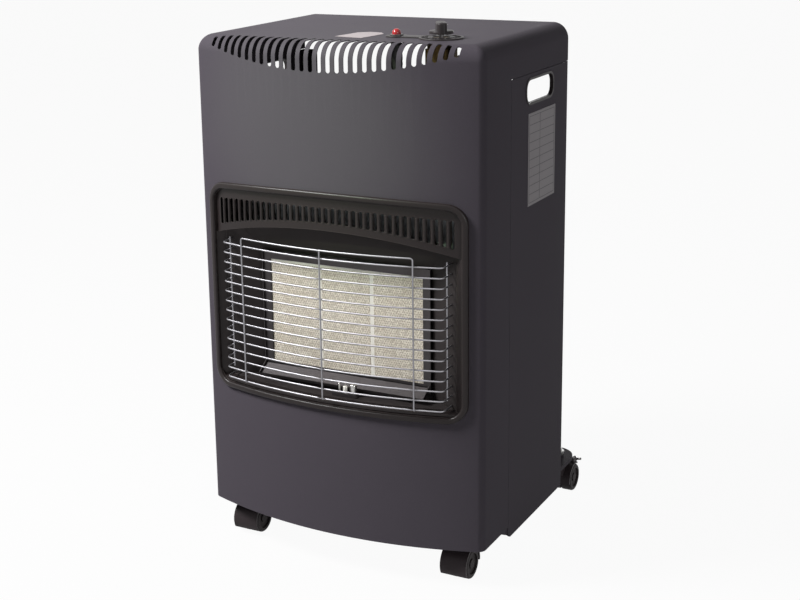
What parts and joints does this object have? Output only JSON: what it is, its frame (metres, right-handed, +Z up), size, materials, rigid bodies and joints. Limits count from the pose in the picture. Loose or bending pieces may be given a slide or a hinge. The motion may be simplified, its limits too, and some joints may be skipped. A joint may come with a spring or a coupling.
{
  "type": "portable cabinet gas heater",
  "caption": "Roll-about bottle-gas cabinet heater with ceramic plaques behind a wire guard, top controls, lift-off rear cover and castors.",
  "frame": {"origin": "on the floor, under the middle of the whole heater's bounding box", "axes": "+Z up, the bowed front with the burner faces -Y, +X is the side with the gas tap (the user's right when facing the heater)"},
  "size_m": [0.4224, 0.4442, 0.741],
  "materials": {
    "charcoal_paint": "satin powder coat with a fine texture",
    "black_trim": "semi-gloss black",
    "black_plastic": "satin black",
    "zinc_sheet": "zinc plated, dull",
    "zinc_hardware": "zinc plated",
    "dark_board": "matt heat-proof black",
    "plaque_ceramic": "unglazed, finely perforated",
    "fibre_gasket": "matt white fibre",
    "burner_steel": "aluminised, dull",
    "polished_steel": "polished",
    "bright_wire": "bright plated",
    "white_ceramic": "glazed",
    "valve_brass": "satin",
    "spring_steel": "plain",
    "igniter_plastic": "satin",
    "button_red": "gloss",
    "lead_rubber": "matt",
    "label_grey": "satin film",
    "tag_pale": "satin film",
    "castor_nylon": "satin black",
    "wheel_rubber": "matt black"
  },
  "bodies": {
    "cabinet": {"front_shell": "charcoal_paint", "side_panel_right": "charcoal_paint", "side_panel_left": "charcoal_paint", "handle_rim_right": "black_plastic", "handle_rim_left": "black_plastic", "base_tray": "zinc_sheet", "tray_screws": "zinc_hardware", "partition_panel": "zinc_sheet", "bezel_frame": "black_trim", "bezel_clips": "zinc_sheet", "wire_guard": "bright_wire", "burner_surround": "dark_board", "plaque_left": "plaque_ceramic", "plaque_centre": "plaque_ceramic", "plaque_right": "plaque_ceramic", "plaque_gasket": "fibre_gasket", "burner_frame": "burner_steel", "burner_box": "burner_steel", "burner_brackets": "zinc_sheet", "venturi_tube": "burner_steel", "main_injector": "valve_brass", "injector_bracket": "zinc_sheet", "reflector_lower": "polished_steel", "pilot_bracket": "burner_steel", "pilot_burner": "polished_steel", "spark_electrode": "white_ceramic", "electrode_tip": "polished_steel", "thermocouple_probe": "polished_steel", "control_escutcheon": "black_plastic", "gas_valve_body": "valve_brass", "valve_screws": "zinc_hardware", "tap_gland": "valve_brass", "hose_tail": "valve_brass", "piezo_body": "igniter_plastic", "piezo_nut": "zinc_hardware", "piezo_spring": "spring_steel", "main_gas_pipe": "valve_brass", "pilot_gas_pipe": "valve_brass", "thermocouple_lead": "lead_rubber", "ignition_lead": "lead_rubber", "rating_label": "label_grey", "top_tag": "tag_pale", "castor_stems": "zinc_hardware", "castor_nuts": "zinc_hardware"},
    "tap": {"tap_plug": "valve_brass", "valve_spring": "spring_steel"},
    "knob": {"control_spindle": "spring_steel", "control_knob": "black_plastic"},
    "igniter_button": {"piezo_button": "button_red"},
    "rear_cover_body": {"rear_cover": "charcoal_paint"},
    "castor_front_left": {"castor_hood_front_left": "castor_nylon"},
    "wheels_front_left": {"castor_wheels_front_left": "wheel_rubber"},
    "castor_front_right": {"castor_hood_front_right": "castor_nylon"},
    "wheels_front_right": {"castor_wheels_front_right": "wheel_rubber"},
    "castor_rear_left": {"castor_hood_rear_left": "castor_nylon"},
    "wheels_rear_left": {"castor_wheels_rear_left": "wheel_rubber"},
    "brake_rear_left": {"brake_pedal_rear_left": "castor_nylon"},
    "castor_rear_right": {"castor_hood_rear_right": "castor_nylon"},
    "wheels_rear_right": {"castor_wheels_rear_right": "wheel_rubber"},
    "brake_rear_right": {"brake_pedal_rear_right": "castor_nylon"}
  },
  "joints": [
    {"name": "control_turn", "type": "hinge", "parent": "cabinet", "child": "tap", "pos_m": [0.127, -0.1186, 0.7048], "axis": [0, 0, 1], "range_deg": [0, 180]},
    {"name": "control_press", "type": "slide", "parent": "tap", "child": "knob", "axis": [0, 0, -1], "range_m": [0, 0.004], "stiffness_N_per_m": 400, "springref_m": -0.003, "deforming": ["valve_spring"]},
    {"name": "igniter_press", "type": "slide", "parent": "cabinet", "child": "igniter_button", "axis": [0, 0, -1], "range_m": [0, 0.005], "stiffness_N_per_m": 400, "springref_m": -0.003, "deforming": ["piezo_spring"]},
    {"name": "cover_lift_off", "type": "slide", "parent": "cabinet", "child": "rear_cover_body", "axis": [0, 1, 0], "range_m": [0, 0.2]},
    {"name": "castor_swivel_front_left", "type": "hinge", "parent": "cabinet", "child": "castor_front_left", "pos_m": [-0.164, -0.1266, 0.05], "axis": [0, 0, 1], "continuous": true},
    {"name": "wheel_roll_front_left", "type": "hinge", "parent": "castor_front_left", "child": "wheels_front_left", "pos_m": [-0.164, -0.1446, 0.0205], "axis": [1, 0, 0], "continuous": true},
    {"name": "castor_swivel_front_right", "type": "hinge", "parent": "cabinet", "child": "castor_front_right", "pos_m": [0.164, -0.1266, 0.05], "axis": [0, 0, 1], "continuous": true},
    {"name": "wheel_roll_front_right", "type": "hinge", "parent": "castor_front_right", "child": "wheels_front_right", "pos_m": [0.164, -0.1446, 0.0205], "axis": [1, 0, 0], "continuous": true},
    {"name": "castor_swivel_rear_left", "type": "hinge", "parent": "cabinet", "child": "castor_rear_left", "pos_m": [-0.186, 0.1714, 0.05], "axis": [0, 0, 1], "continuous": true},
    {"name": "wheel_roll_rear_left", "type": "hinge", "parent": "castor_rear_left", "child": "wheels_rear_left", "pos_m": [-0.186, 0.1894, 0.0205], "axis": [1, 0, 0], "continuous": true},
    {"name": "brake_press_rear_left", "type": "hinge", "parent": "castor_rear_left", "child": "brake_rear_left", "pos_m": [-0.186, 0.1934, 0.0485], "axis": [-1, 0, 0], "range_deg": [0, 12]},
    {"name": "castor_swivel_rear_right", "type": "hinge", "parent": "cabinet", "child": "castor_rear_right", "pos_m": [0.186, 0.1714, 0.05], "axis": [0, 0, 1], "continuous": true},
    {"name": "wheel_roll_rear_right", "type": "hinge", "parent": "castor_rear_right", "child": "wheels_rear_right", "pos_m": [0.186, 0.1894, 0.0205], "axis": [1, 0, 0], "continuous": true},
    {"name": "brake_press_rear_right", "type": "hinge", "parent": "castor_rear_right", "child": "brake_rear_right", "pos_m": [0.186, 0.1934, 0.0485], "axis": [-1, 0, 0], "range_deg": [0, 12]}
  ]
}
